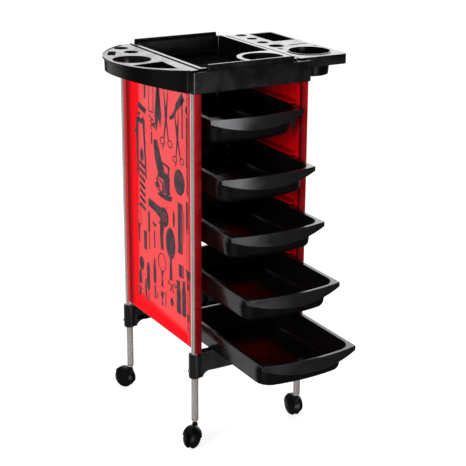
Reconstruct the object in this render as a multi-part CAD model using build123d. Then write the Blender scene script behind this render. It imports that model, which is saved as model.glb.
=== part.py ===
"""Rolling salon trolley: four posts, two side panels, a top frame with two wing trays, five drawers.

Millimetres. X runs to the right seen from the front, Y to the back and Z up from the floor.
The parts are drawn about the middle of the four posts and moved by ORIGIN_TO_POSTS when written,
so that the origin is under the middle of the whole trolley with its drawers pulled out in steps.
"""
from build123d import *
from math import cos, radians, sin, sqrt
import os

# ---------------------------------------------------------------- driving dimensions
ORIGIN_TO_POSTS = 112.0   # distance in Y from the origin to the middle of the posts

# posts
POST_X = 135.0
POST_Y = 167.0
POST_R = 8.0
POST_WALL = 1.2
POST_BOTTOM = 63.0
POST_TOP = 846.0

# side panels (sizes in X are distances from the middle)
FACE_X = 141.0            # outer face
FLANGE_X = 139.0          # outer edge of the front and rear flanges
CHANNEL_X = 123.5         # inner wall of the post channels
SKIN = 2.5
DISH = 4.5                # depth of the dished face
PANEL_Y = 161.0
FLANGE_Y = 178.5          # outside of the flanges
FLANGE_T = 3.2
PANEL_BOTTOM = 234.5
FLANGE_BOTTOM = 225.0
FLANGE_TOP = 806.0
PANEL_TOP = 838.0
GROOVE_R = 8.3            # groove that takes the post
CHANNEL_Y = 155.5         # where the post channel ends
RIB_STEP = 52.0
RIB_T = 2.5
RIB_H = 5.0
FILM_T = 0.3

# drawers
DRAWER_TOPS = [753.0, 637.0, 524.0, 407.5, 285.5]     # height of each rim
DRAWER_TIPS = [-202.0, -251.0, -292.0, -356.0, -422.0]  # front corners as stored, pulled out in steps
DRAWER_HALF = 114.5
DRAWER_LENGTH = 348.0
DRAWER_BOW = 15.0         # how far the front edge bows forward
DRAWER_DEPTH = 59.5
DRAWER_WALL = 2.2
RIM_T = 2.5
RIM_SIDE = 9.0            # width of the side flanges
RIM_FRONT = 6.5           # width of the rim in front of the tub
RIM_REAR = 6.0
RIM_CORNER_R = 6.0        # rear corners of the rim
LIP_T = 2.6
LIP_TALL = 29.5
LIP_ENDS = 9.5
WAIST = 24.0              # depth down to which the tub's front slopes back, behind the lip
WAIST_SIDE = 2.0          # how far the sides have come in there
WAIST_FRONT = 19.5        # how far the front has gone back there
TUB_TAPER = 7.0           # taper below the waist, in degrees
FRONT_CORNER_R = 36.0
REAR_CORNER_R = 14.0
TUB_FILLET = 11.0

# runners
RUNNER_X = 110.0          # inner edge of the ledges
RUNNER_T = 2.4
RUNNER_BELOW = 0.5        # gap under the rim
RUNNER_ABOVE = 3.0        # gap over the rim

# cross rails
RAIL_TOP = 225.0
RAIL_BOTTOM = 178.0
RAIL_T = 18.0
RAIL_WALL = 2.5
RAIL_BAYS = 6             # hollow bays in the back of a rail
ARCH_X = 97.0             # the rail's straight underside ends here and curves down to the sockets
ARCH_END_X = 119.5
ARCH_MID = (112.5, 174.6) # x and z of a point half way round that curve
FLANK_X = 121.5           # the rail's top is this wide, between the side panels' channels
SOCKET_R = 13.5
SOCKET_BOTTOM = 165.0
SOCKET_TOP = 221.0
RAIL_SCREW_Z = 183.0

# top frame
TOP_Z = 855.0
PLATE_T = 2.8
BIN_HALF_X = 111.5
BIN_HALF_Y = 160.0
BIN_STEP_Z = 823.0        # height of the small ledge round the bin's walls
BIN_FLOOR = 810.0
BIN_UPPER_DRAFT = 4.0     # how much each side comes in from the rim to the ledge
BIN_STEP = 3.0            # width of the ledge
BIN_LOWER_DRAFT = 1.5
BIN_WALL = 2.5
BIN_CORNER_R = 6.0
BIN_RIB_STEP = 40.0
BIN_RIB_W = 3.0
BIN_RIB_H = 2.0
RIM_X = 120.5
RIM_LIP = 2.0
APRON_HALF_X = 145.0
APRON_Y = 181.0
APRON_BOTTOM = 806.0
APRON_TOP = 850.5
APRON_CORNER_R = 5.0
APRON_EDGE_R = 1.0
RETURN_Y = 162.0          # where the apron's side returns end
SLOT_FLOOR = 840.0        # floor of the channel that takes the wing's hook
HOOK_LIP_IN = 129.0
HOOK_LIP_OUT = 131.0
HOOK_LIP_TOP = 849.5
CORNER_SOCKET_R = 10.5
GRIP_HALF = 106.0
GRIP_Y = 170.5
GRIP_W = 9.0
GRIP_TOP = 863.0
GRIP_EDGE_R = 3.0
GRIP_END_CUT = 2.5
RING_X = 63.0
RING_Y = -113.0
RING_R = 45.5
RING_OUT_R = 57.0
RING_COLLAR = 12.0
TOP_SCREW_Z = 826.0

# wing trays
WING_TOP = 854.1          # a little under the rim of the bin
WING_IN = 126.0           # inner edge
WING_OUT = 249.0          # outermost point
WING_PLATE = 3.0
HOOK_T = 2.0
SKIRT_T = 2.5
SKIRT_IN = 146.0          # skirts stop here, beside the apron's corners
COLLAR_T = 2.0
COLLAR_DEEP = 12.0
BEAD_H = 1.2
BEAD_W = 2.0
SLOT_CORNER_R = 2.5

# left wing: D-shaped
D_R = 186.0
D_CX = -63.0
D_CY = -8.0
D_FRONT = -172.0
D_REAR = 166.0
D_SKIRT_Z = 806.5         # skirt's lower edge beside the panel
D_SKIRT_SLOPE = 0.2       # rise of that edge per millimetre outwards
D_SKIRT_INSET = 3.5       # the plate stands out over the skirt by this
D_SKIRT_DRAFT = 1.5       # in degrees
DRYER_X = -197.0
DRYER_Y = -5.0
DRYER_R = 41.5
DRYER_COLLAR = 20.0
LEFT_HOLES = [(-162.0, 124.0, 16.0), (-162.5, 72.0, 16.0)]
LEFT_SLOT = (-206.5, 77.0, 45.0, 17.0, 62.0)     # x, y, length, width, angle of its length from +X
POCKET_DEEP = 30.0
POCKET_WALL = 2.2
POCKET_CORNER_R = 3.0
POCKET_TIPS = [(-151.0, -56.0), (-225.4, -65.5), (-156.0, -138.0)]
POCKET_BOW = (-8.5, -7.5) # how far the middle of its outer side is bowed out, in x and y

# right wing: rectangular
R_FRONT = -165.0
R_REAR = 158.0
R_CORNER = 9.0
R_SKIRT = 22.0
RIGHT_HOLES = [(158.0, 141.0, 12.5), (157.0, 91.0, 12.5), (154.5, 39.0, 13.0), (158.7, -13.0, 17.5),
               (147.0, -50.0, 6.0), (238.0, -52.0, 3.5)]
R_SLOT = (214.0, -18.0, 50.0, 6.0)
R_BIN = (182.0, 241.0, 36.0, 146.0)              # x from, x to, y from, y to
R_BIN_DEEP = 40.0
R_BIN_DRAFT = 2.0
CUP_X = 190.7
CUP_Y = -99.4
CUP_R = 46.0
CUP_BOTTOM_R = 41.5
CUP_DEEP = 46.5

# casters
CASTER_TURNS = {"front_left": 229.6, "rear_left": 332.5, "front_right": 9.8, "rear_right": 300.0}
WHEEL_R = 25.0
TRAIL = 18.0
WHEEL_IN = 3.3            # inner faces of the two wheels, from the middle
TREAD = 6.3               # the tread ends here and the domed side begins
WHEEL_OUT = 17.5
DOME_MID = (14.2, 18.0)   # a point of the dome: distance from the middle and radius
CAP_R = 8.0               # flat cap in the middle of the dome
AXLE_R = 3.0
STEM_R = 4.0
STEM_BOTTOM = 48.0
RUNNING = 0.05            # radial clearance of shafts in their holes
BOSS_R = 6.6
BOSS_Z = (40.0, 50.0)
NECK_R = 5.4
NECK_TOP = 58.5
COLLAR_Z = 58.8
COLLAR_R = 7.0
PLUG_FLANGE = 61.0
WEB_HALF = 2.5            # half the thickness of the web between the wheels
WEB_R = 16.0
HUB_R = 6.5
HOOD_GAP = 0.8            # between the wheels and the hood over them
HOOD_T = 1.6
HOOD_FROM = 38.0          # the hood goes round the wheels between these angles, in degrees from +Y
HOOD_TO = 196.0

# fasteners
SCREW_R = 1.7
SCREW_HEAD_R = 3.6
SCREW_HEAD_T = 2.4


# ---------------------------------------------------------------- helpers
def box(x0, x1, y0, y1, z0, z1):
    """A block between two corners."""
    low = Vector(min(x0, x1), min(y0, y1), min(z0, z1))
    size = Vector(abs(x1 - x0), abs(y1 - y0), abs(z1 - z0))
    return Pos(low) * Box(size.X, size.Y, size.Z, align=(Align.MIN, Align.MIN, Align.MIN))


def rod(x, y, z0, z1, radius):
    """An upright cylinder from z0 to z1."""
    return Pos(x, y, z0) * Cylinder(radius, z1 - z0, align=(Align.CENTER, Align.CENTER, Align.MIN))


def tube(x, y, z0, z1, outer, inner):
    """An upright tube."""
    return rod(x, y, z0, z1, outer) - rod(x, y, z0, z1, inner)


def prism(face, z0, z1):
    """A flat XY face pulled up from z0 to z1."""
    return Pos(0, 0, z0) * extrude(face, z1 - z0, dir=(0, 0, 1))


def flat_box(x0, x1, y0, y1):
    """A flat XY rectangle between two corners."""
    return Pos((x0 + x1) / 2, (y0 + y1) / 2) * Rectangle(abs(x1 - x0), abs(y1 - y0))


def frustum(low, high, z_low, z_high):
    """A straight-sided block between two XY rectangles given as (x0, x1, y0, y1)."""
    faces = []
    for (x0, x1, y0, y1), z in ((low, z_low), (high, z_high)):
        centre = Pos((x0 + x1) / 2, (y0 + y1) / 2, z)
        faces.append(centre * Rectangle(x1 - x0, y1 - y0))
    return loft(faces, ruled=True)


def polygon(points):
    """A closed flat face from its corner points."""
    return make_face(Polyline(*points, close=True))


def lying_rod(x0, x1, y, z, radius):
    """A cylinder along X."""
    return Pos(x0, y, z) * Rot(0, 90, 0) * Cylinder(
        radius, x1 - x0, align=(Align.CENTER, Align.CENTER, Align.MIN))


def corners():
    """The four posts as (name, sign of x, sign of y)."""
    return [("front_left", -1, -1), ("front_right", 1, -1), ("rear_left", -1, 1), ("rear_right", 1, 1)]


# ---------------------------------------------------------------- frame parts
def post(side_x, side_y):
    """One tube with the screw holes of the cross rail and of the top frame."""
    x = side_x * POST_X
    y = side_y * POST_Y
    shape = tube(x, y, POST_BOTTOM, POST_TOP, POST_R, POST_R - POST_WALL)
    out_x = side_x * (POST_X + POST_R + 1)
    in_x = side_x * (POST_X - POST_R - 1)
    shape -= lying_rod(min(x, out_x), max(x, out_x), y, RAIL_SCREW_Z, SCREW_R)
    shape -= lying_rod(min(x, in_x), max(x, in_x), y, TOP_SCREW_Z, SCREW_R)
    return shape


def cross_rail(side_y):
    """A moulded rail with a socket at each end, hollow on its inner side."""
    half_t = RAIL_T / 2
    mid_x, mid_z = ARCH_MID
    outline = Polyline((-ARCH_END_X, SOCKET_BOTTOM), (-POST_X, SOCKET_BOTTOM), (-POST_X, SOCKET_TOP),
                       (-FLANK_X, SOCKET_TOP), (-FLANK_X, RAIL_TOP), (FLANK_X, RAIL_TOP),
                       (FLANK_X, SOCKET_TOP), (POST_X, SOCKET_TOP), (POST_X, SOCKET_BOTTOM),
                       (ARCH_END_X, SOCKET_BOTTOM))
    right_arc = ThreePointArc((ARCH_END_X, SOCKET_BOTTOM), (mid_x, mid_z), (ARCH_X, RAIL_BOTTOM))
    under = Line((ARCH_X, RAIL_BOTTOM), (-ARCH_X, RAIL_BOTTOM))
    left_arc = ThreePointArc((-ARCH_X, RAIL_BOTTOM), (-mid_x, mid_z), (-ARCH_END_X, SOCKET_BOTTOM))
    face = make_face([outline, right_arc, under, left_arc])
    body = Pos(0, half_t, 0) * Rot(90, 0, 0) * extrude(face, RAIL_T)
    hollow_top = RAIL_TOP - RAIL_WALL
    hollow_low = RAIL_BOTTOM + RAIL_WALL
    bays_end = POST_X - SOCKET_R - 4
    bay = 2 * bays_end / RAIL_BAYS
    for k in range(RAIL_BAYS):
        x0 = k * bay - bays_end + RAIL_WALL / 2
        body -= box(x0, x0 + bay - RAIL_WALL, -half_t + RAIL_WALL, half_t + 1, hollow_low, hollow_top)
    front = body.faces().sort_by(Axis.Y)[0]
    top_edge = front.edges().filter_by(Axis.X).sort_by(Axis.Z)[-1]
    body = fillet(top_edge, 1.5)
    for side_x in (-1, 1):
        body += rod(side_x * POST_X, 0, SOCKET_BOTTOM, SOCKET_TOP, SOCKET_R)
    for side_x in (-1, 1):
        rim = body.edges().filter_by(GeomType.CIRCLE)
        rim = [e for e in rim if abs(e.radius - SOCKET_R) < 0.01 and e.center().X * side_x > POST_X - 5]
        body = chamfer(rim, 1.0)
        body -= rod(side_x * POST_X, 0, SOCKET_BOTTOM - 5, RAIL_TOP + 5, POST_R + RUNNING)
        out_x = side_x * (POST_X + SOCKET_R + 2)
        mid_x = side_x * (POST_X + POST_R - 2)
        body -= lying_rod(min(mid_x, out_x), max(mid_x, out_x), 0, RAIL_SCREW_Z, SCREW_R)
    turn = 0 if side_y < 0 else 180
    return Pos(0, side_y * POST_Y, 0) * Rot(0, 0, turn) * body


def screw(x_head, x_tip, y, z):
    """A pan-head screw along X, its head's inner face at x_head and its tip at x_tip."""
    sign = 1 if x_head > x_tip else -1
    shank = lying_rod(min(x_head, x_tip), max(x_head, x_tip), y, z, SCREW_R)
    head = Cylinder(SCREW_HEAD_R, SCREW_HEAD_T, align=(Align.CENTER, Align.CENTER, Align.MIN))
    top = head.edges().filter_by(GeomType.CIRCLE).sort_by(Axis.Z)[-1]
    head = fillet(top, 1.3)
    slot = Pos(0, 0, SCREW_HEAD_T - 0.45) * (Box(4.2, 0.9, 2) + Box(0.9, 4.2, 2))
    head = head - slot
    return shank + Pos(x_head, y, z) * Rot(0, 90 * sign, 0) * head


def rail_screws():
    """One screw from the outside through each rail socket into its post."""
    shapes = []
    for _, side_x, side_y in corners():
        head = side_x * (POST_X + SOCKET_R)
        tip = side_x * (POST_X + POST_R - POST_WALL - 3)
        shapes.append(screw(head, tip, side_y * POST_Y, RAIL_SCREW_Z))
    return Compound(children=shapes)


def top_screws():
    """One screw from the inside through each corner socket of the top frame into its post."""
    shapes = []
    for _, side_x, side_y in corners():
        head = side_x * (POST_X - CORNER_SOCKET_R)
        tip = side_x * (POST_X - POST_R + POST_WALL + 3)
        shapes.append(screw(head, tip, side_y * POST_Y, TOP_SCREW_Z))
    return Compound(children=shapes)


def post_plugs():
    """A plug in the lower end of each post, bored for the caster's stem."""
    shapes = []
    for _, side_x, side_y in corners():
        x = side_x * POST_X
        y = side_y * POST_Y
        plug = rod(x, y, POST_BOTTOM, POST_BOTTOM + 34, POST_R - POST_WALL)
        plug += rod(x, y, PLUG_FLANGE, POST_BOTTOM, POST_R)
        shapes.append(plug - rod(x, y, PLUG_FLANGE - 1, POST_BOTTOM + 35, STEM_R))
    return Compound(children=shapes)


# ---------------------------------------------------------------- side panels
def dish():
    """The hollow of the dished face of the right panel, wide outside and narrow inside."""
    outer = Plane.YZ.offset(FACE_X) * Pos(-2, 532) * Rectangle(300, 588)
    inner = Plane.YZ.offset(FACE_X - DISH) * Pos(-18.5, 532.5) * Rectangle(227, 547)
    return loft([inner, outer], ruled=True)


def side_panel(side_x):
    """The red moulding: dished skin, post channels with flanges, ribs and runner ledges."""
    skin_in = FACE_X - DISH - SKIN
    shape = box(skin_in, FACE_X, -PANEL_Y, PANEL_Y, PANEL_BOTTOM, FLANGE_TOP)
    shape += box(skin_in, FACE_X, -150, 150, FLANGE_TOP, PANEL_TOP)
    for side_y in (-1, 1):
        shape += box(CHANNEL_X, POST_X, side_y * CHANNEL_Y, side_y * FLANGE_Y, PANEL_BOTTOM, FLANGE_TOP)
        shape += box(CHANNEL_X, FLANGE_X, side_y * (FLANGE_Y - FLANGE_T), side_y * FLANGE_Y,
                     FLANGE_BOTTOM, FLANGE_TOP)
        shape += box(POST_X, FACE_X, side_y * CHANNEL_Y, side_y * PANEL_Y, PANEL_BOTTOM, FLANGE_TOP)
    for z in (PANEL_BOTTOM, FLANGE_TOP - SKIN, PANEL_TOP - SKIN):
        half = 150 if z > FLANGE_TOP else CHANNEL_Y
        shape += box(skin_in - RIB_H, skin_in + 1, -half, half, z, z + SKIN)
    for k in range(-2, 3):
        shape += box(skin_in - RIB_H, skin_in + 1, k * RIB_STEP - RIB_T / 2, k * RIB_STEP + RIB_T / 2,
                     PANEL_BOTTOM, PANEL_TOP)
    for top in DRAWER_TOPS:
        ledge_tops = (top - RIM_T - RUNNER_BELOW, top + RUNNER_ABOVE + RUNNER_T)
        for z in ledge_tops:
            shape += box(RUNNER_X, skin_in + 1, -CHANNEL_Y - 1, CHANNEL_Y + 1, z - RUNNER_T, z)
    shape -= dish()
    for side_y in (-1, 1):
        y = side_y * POST_Y
        shape -= rod(POST_X, y, FLANGE_BOTTOM - 5, PANEL_TOP + 5, GROOVE_R)
        shape -= box(POST_X, FACE_X + 5, side_y * (POST_Y - GROOVE_R / 2), side_y * (FLANGE_Y - FLANGE_T),
                     PANEL_BOTTOM - 20, FLANGE_TOP + 1)
    return shape if side_x > 0 else mirror(shape, Plane.YZ)


def printed_film(side_x):
    """A thin film that lines the dished face."""
    film = dish() - Pos(FILM_T, 0, 0) * dish()
    return film if side_x > 0 else mirror(film, Plane.YZ)


# ---------------------------------------------------------------- top frame
def aprons():
    """The front and rear aprons with rounded corners, short side returns and the plates over them."""
    far = APRON_HALF_X + 1
    under = APRON_TOP - SKIN
    block = prism(RectangleRounded(2 * APRON_HALF_X, 2 * APRON_Y, APRON_CORNER_R), APRON_BOTTOM, APRON_TOP)
    block = fillet(block.faces().sort_by(Axis.Z)[-1].edges(), APRON_EDGE_R)
    inside = RectangleRounded(2 * (APRON_HALF_X - SKIN), 2 * (APRON_Y - SKIN), APRON_CORNER_R - SKIN)
    block -= prism(inside, APRON_BOTTOM - 1, under)
    block -= box(-far, far, -RETURN_Y, RETURN_Y, APRON_BOTTOM - 1, under)
    plates_from = BIN_HALF_Y - 3
    return block - box(-far, far, -plates_from, plates_from, under - 1, APRON_TOP + 1)


def bin_stage(grow, z_low, z_high, inset_low, inset_high):
    """One straight-sided stage of the bin's hollow, or with grow of its outer shape."""
    ends = []
    for inset in (inset_low, inset_high):
        half_x = BIN_HALF_X + grow - inset
        half_y = BIN_HALF_Y + grow - inset
        ends.append((-half_x, half_x, -half_y, half_y))
    block = frustum(ends[0], ends[1], z_low, z_high)
    upright = block.edges().filter_by(lambda e: abs(e.tangent_at(0.5).Z) > 0.9)
    return fillet(upright, BIN_CORNER_R)


def bin_walls():
    """The bin as (outer shape, hollow): two stages with a small ledge between them."""
    over = 2.0
    widen = BIN_UPPER_DRAFT * over / (TOP_Z - BIN_STEP_Z)
    ledge = BIN_UPPER_DRAFT + BIN_STEP
    floor = ledge + BIN_LOWER_DRAFT
    outer = bin_stage(BIN_WALL, BIN_STEP_Z - BIN_WALL, TOP_Z - 0.5, BIN_UPPER_DRAFT, 0)
    outer += bin_stage(BIN_WALL, BIN_FLOOR - BIN_WALL, BIN_STEP_Z, floor, ledge)
    hollow = bin_stage(0, BIN_STEP_Z, TOP_Z + over, BIN_UPPER_DRAFT, -widen)
    hollow += bin_stage(0, BIN_FLOOR, BIN_STEP_Z + 0.01, floor, ledge)
    return outer, hollow


def top_frame():
    """The top moulding: bin, aprons, hook channels, corner sockets, grip bars and ring plate."""
    plate_low = TOP_Z - PLATE_T
    shape = aprons()
    # rim of the bin with its turned-down side lips, and the channel for the wing hooks
    shape += box(-RIM_X, RIM_X, -BIN_HALF_Y - 5, BIN_HALF_Y + 5, plate_low, TOP_Z)
    for side_x in (-1, 1):
        reach = BIN_HALF_Y - 2
        shape += box(side_x * (RIM_X - RIM_LIP), side_x * RIM_X, -reach, reach, SLOT_FLOOR, TOP_Z)
        shape += box(side_x * BIN_HALF_X, side_x * HOOK_LIP_OUT, -reach, reach, SLOT_FLOOR, SLOT_FLOOR + SKIN)
        shape += box(side_x * HOOK_LIP_IN, side_x * HOOK_LIP_OUT, -reach, reach, SLOT_FLOOR, HOOK_LIP_TOP)
    # grip bars
    for side_y in (-1, 1):
        y = side_y * GRIP_Y
        bar = box(-GRIP_HALF, GRIP_HALF, y - GRIP_W / 2, y + GRIP_W / 2, APRON_TOP - 1, GRIP_TOP)
        bar = fillet(bar.edges().filter_by(Axis.X).group_by(Axis.Z)[-1], GRIP_EDGE_R)
        bar = chamfer(bar.edges().filter_by(Axis.Y).group_by(Axis.Z)[-1], GRIP_END_CUT)
        shape += bar
    # bin, with low ribs on its floor
    outer, hollow = bin_walls()
    shape += outer
    shape -= hollow
    rib_end = BIN_HALF_Y - 20.0
    for k in range(-2, 3):
        x = k * BIN_RIB_STEP
        shape += box(x - BIN_RIB_W / 2, x + BIN_RIB_W / 2, -rib_end, rib_end, BIN_FLOOR - 0.5,
                     BIN_FLOOR + BIN_RIB_H)
    # ring plate in the bin's front right corner
    plate = Pos(RING_X, RING_Y) * Circle(RING_OUT_R)
    plate += flat_box(RING_X, BIN_HALF_X + 1, RING_Y - RING_OUT_R, RING_Y + RING_OUT_R)
    plate &= flat_box(-BIN_HALF_X, BIN_HALF_X + 1, -BIN_HALF_Y - 1, 0)
    shape += prism(plate, plate_low, TOP_Z)
    shape += rod(RING_X, RING_Y, TOP_Z - RING_COLLAR, TOP_Z, RING_R + 2)
    shape -= rod(RING_X, RING_Y, TOP_Z - RING_COLLAR - 1, TOP_Z + 1, RING_R)
    # corner sockets for the posts with webs to the apron
    for _, side_x, side_y in corners():
        x = side_x * POST_X
        y = side_y * POST_Y
        socket = rod(x, y, APRON_BOTTOM, APRON_TOP, CORNER_SOCKET_R)
        socket += box(x - 1, x + 1, y, side_y * (APRON_Y - 1), APRON_BOTTOM + 4, APRON_TOP)
        web_end = side_x * (BIN_HALF_X - 2)
        socket += box(x, web_end, y - 1, y + 1, APRON_BOTTOM + 26, APRON_TOP)
        shape += socket
        shape -= rod(x, y, APRON_BOTTOM - 1, POST_TOP, POST_R + RUNNING)
        screw_end = side_x * (POST_X - CORNER_SOCKET_R - 1)
        shape -= lying_rod(min(x, screw_end), max(x, screw_end), y, TOP_SCREW_Z, SCREW_R)
    return shape


# ---------------------------------------------------------------- wing trays
def hole_collar(x, y, radius, deep):
    """A collar under a round hole and the hole itself, as (added, removed)."""
    return (rod(x, y, WING_TOP - deep, WING_TOP, radius + COLLAR_T),
            rod(x, y, WING_TOP - deep - 1, WING_TOP + 3, radius))


def slot_collar(place, length, width):
    """A collar under a slot and the slot itself, as (added, removed)."""
    outer = RectangleRounded(length + 2 * COLLAR_T, width + 2 * COLLAR_T, SLOT_CORNER_R + COLLAR_T)
    inner = RectangleRounded(length, width, SLOT_CORNER_R)
    return (prism(place * outer, WING_TOP - COLLAR_DEEP, WING_TOP),
            prism(place * inner, WING_TOP - COLLAR_DEEP - 1, WING_TOP + 3))


def d_outline(inset):
    """The D-shaped outline of the left wing, set in by a distance from its curved side."""
    radius = D_R - inset
    x_chord = -WING_IN
    y_front = D_FRONT + inset
    y_rear = D_REAR - inset
    x_front = D_CX - sqrt(radius ** 2 - (y_front - D_CY) ** 2)
    x_rear = D_CX - sqrt(radius ** 2 - (y_rear - D_CY) ** 2)
    curve = ThreePointArc((x_front, y_front), (D_CX - radius, D_CY), (x_rear, y_rear))
    front = Line((x_chord, y_front), (x_front, y_front))
    rear = Line((x_rear, y_rear), (x_chord, y_rear))
    chord = Line((x_chord, y_rear), (x_chord, y_front))
    return make_face([front, curve, rear, chord])


def left_wing():
    """The D-shaped tray with the dryer hole, two tool holes, a slanted slot and a pocket."""
    plate_low = WING_TOP - WING_PLATE
    outline = d_outline(0)
    shape = prism(outline, plate_low, WING_TOP)
    # skirt, its lower edge rising outwards
    start = Pos(0, 0, plate_low + 1)
    tall = plate_low + 1 - D_SKIRT_Z + 10
    skirt = start * extrude(d_outline(D_SKIRT_INSET), -tall, taper=D_SKIRT_DRAFT)
    skirt -= start * extrude(d_outline(D_SKIRT_INSET + SKIRT_T), -tall - 1, taper=D_SKIRT_DRAFT)
    keep = box(-WING_OUT - 5, -SKIRT_IN, -250, 250, D_SKIRT_Z - 20, WING_TOP)
    far_x = -WING_OUT - 10
    rise = D_SKIRT_SLOPE * (-SKIRT_IN - 4 - far_x)
    below = polygon([(-SKIRT_IN + 10, D_SKIRT_Z - 3), (far_x, D_SKIRT_Z + rise), (far_x, D_SKIRT_Z - 40),
                     (-SKIRT_IN + 10, D_SKIRT_Z - 40)])
    skirt = (skirt & keep) - Pos(0, 260, 0) * Rot(90, 0, 0) * extrude(below, 520)
    shape += skirt
    # bead along the curved edge and hook along the inner edge
    bead = prism(outline - d_outline(BEAD_W), WING_TOP, WING_TOP + BEAD_H)
    shape += bead & box(-WING_OUT - 5, -SKIRT_IN, -250, 250, WING_TOP, WING_TOP + 5)
    reach = BIN_HALF_Y - 4
    shape += box(-WING_IN, -WING_IN - HOOK_T, -reach, reach, SLOT_FLOOR + SKIN + 0.3, WING_TOP)
    # holes
    holes = [hole_collar(x, y, r, COLLAR_DEEP) for x, y, r in LEFT_HOLES]
    holes.append(hole_collar(DRYER_X, DRYER_Y, DRYER_R, DRYER_COLLAR))
    x, y, length, width, angle = LEFT_SLOT
    holes.append(slot_collar(Pos(x, y, 0) * Rot(0, 0, angle), length, width))
    # three-cornered pocket with a closed floor, its outer side bowed like the wing
    (ax, ay), (bx, by), (cx, cy) = POCKET_TIPS
    bow = ThreePointArc((bx, by), ((bx + cx) / 2 + POCKET_BOW[0], (by + cy) / 2 + POCKET_BOW[1]), (cx, cy))
    tri = make_face([Line((ax, ay), (bx, by)), bow, Line((cx, cy), (ax, ay))])
    tri = fillet(tri.vertices(), POCKET_CORNER_R)
    tri_out = offset(tri, POCKET_WALL)
    holes.append((prism(tri_out, WING_TOP - POCKET_DEEP, WING_TOP),
                  prism(tri, WING_TOP - POCKET_DEEP + POCKET_WALL, WING_TOP + 3)))
    for added, _ in holes:
        shape += added
    for _, removed in holes:
        shape -= removed
    return shape


def right_wing():
    """The rectangular tray with a cup, a bin, round holes and a slot."""
    plate_low = WING_TOP - WING_PLATE
    outline = flat_box(WING_IN, WING_OUT, R_FRONT, R_REAR)
    outline = fillet(outline.vertices().sort_by(Axis.X)[-2:], R_CORNER)
    inner = flat_box(WING_IN, WING_OUT - SKIRT_T, R_FRONT + SKIRT_T, R_REAR - SKIRT_T)
    inner = fillet(inner.vertices().sort_by(Axis.X)[-2:], R_CORNER - SKIRT_T)
    shape = prism(outline, plate_low, WING_TOP)
    skirt = prism(outline - inner, WING_TOP - R_SKIRT, WING_TOP)
    shape += skirt & box(SKIRT_IN, WING_OUT + 5, -250, 250, WING_TOP - R_SKIRT, WING_TOP)
    reach = BIN_HALF_Y - 8
    shape += box(WING_IN, WING_IN + HOOK_T, -reach, reach, SLOT_FLOOR + SKIN + 0.3, WING_TOP)
    holes = [hole_collar(x, y, r, COLLAR_DEEP) for x, y, r in RIGHT_HOLES]
    x, y, length, width = R_SLOT
    holes.append(slot_collar(Pos(x, y), length, width))
    # bin
    x0, x1, y0, y1 = R_BIN
    wall = POCKET_WALL
    draft = R_BIN_DRAFT
    bin_out = frustum((x0 - wall + draft, x1 + wall - draft, y0 - wall + draft, y1 + wall - draft),
                      (x0 - wall, x1 + wall, y0 - wall, y1 + wall), WING_TOP - R_BIN_DEEP - wall, WING_TOP)
    bin_in = frustum((x0 + draft, x1 - draft, y0 + draft, y1 - draft), (x0, x1, y0, y1),
                     WING_TOP - R_BIN_DEEP, WING_TOP + 0.01)
    bin_in = fillet(bin_in.edges().filter_by(lambda e: abs(e.tangent_at(0.5).Z) > 0.9), 4.0)
    holes.append((bin_out, bin_in))
    # cup
    cup = Cone(CUP_BOTTOM_R, CUP_R, CUP_DEEP, align=(Align.CENTER, Align.CENTER, Align.MAX))
    cup_out = Cone(CUP_BOTTOM_R + wall, CUP_R + wall, CUP_DEEP + wall,
                   align=(Align.CENTER, Align.CENTER, Align.MAX))
    cup_out = fillet(cup_out.edges().filter_by(GeomType.CIRCLE).sort_by(Axis.Z)[0], 2.0)
    here = Pos(CUP_X, CUP_Y, WING_TOP)
    holes.append((here * cup_out + rod(CUP_X, CUP_Y, WING_TOP - 3, WING_TOP + BEAD_H, CUP_R + 3.0),
                  here * cup + rod(CUP_X, CUP_Y, WING_TOP - 0.01, WING_TOP + 3, CUP_R)))
    for added, _ in holes:
        shape += added
    for _, removed in holes:
        shape -= removed
    return shape


# ---------------------------------------------------------------- drawers
def bow_radius():
    """Radius of the bowed front edge."""
    return (DRAWER_HALF ** 2 + DRAWER_BOW ** 2) / (2 * DRAWER_BOW)


def tub_plan(gap, side_in, front_in):
    """The tub's outline, set in by a gap all round and by more at its sides and its front."""
    half = DRAWER_HALF - RIM_SIDE - gap - side_in
    front_r = bow_radius() - RIM_FRONT
    centre_y = bow_radius() - DRAWER_BOW + gap + front_in
    y_side = centre_y - sqrt(front_r ** 2 - half ** 2)
    y_rear = DRAWER_LENGTH - RIM_REAR - gap
    plan = make_face([ThreePointArc((-half, y_side), (0, centre_y - front_r), (half, y_side)),
                      Polyline((half, y_side), (half, y_rear), (-half, y_rear), (-half, y_side))])
    plan = fillet(plan.vertices().sort_by(Axis.Y)[-2:], REAR_CORNER_R)
    return fillet(plan.vertices().sort_by(Axis.Y)[:2], FRONT_CORNER_R - gap)


def tub(gap, depth, floor_r, over=0.0):
    """The tub's body: a stage that slopes back behind the lip, and a tapered stage with a rounded floor.

    It starts a little over the rim's top, and the slopes are carried on up to there.
    """
    waist = Pos(0, 0, -WAIST) * tub_plan(gap, WAIST_SIDE, WAIST_FRONT)
    beyond = over / WAIST
    top = Pos(0, 0, over) * tub_plan(gap, -beyond * WAIST_SIDE, -beyond * WAIST_FRONT)
    upper = loft([top, waist], ruled=True)
    lower = extrude(waist, -(depth - WAIST), taper=TUB_TAPER)
    lower = fillet(lower.faces().sort_by(Axis.Z)[0].edges(), floor_r)
    return upper + lower


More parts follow.
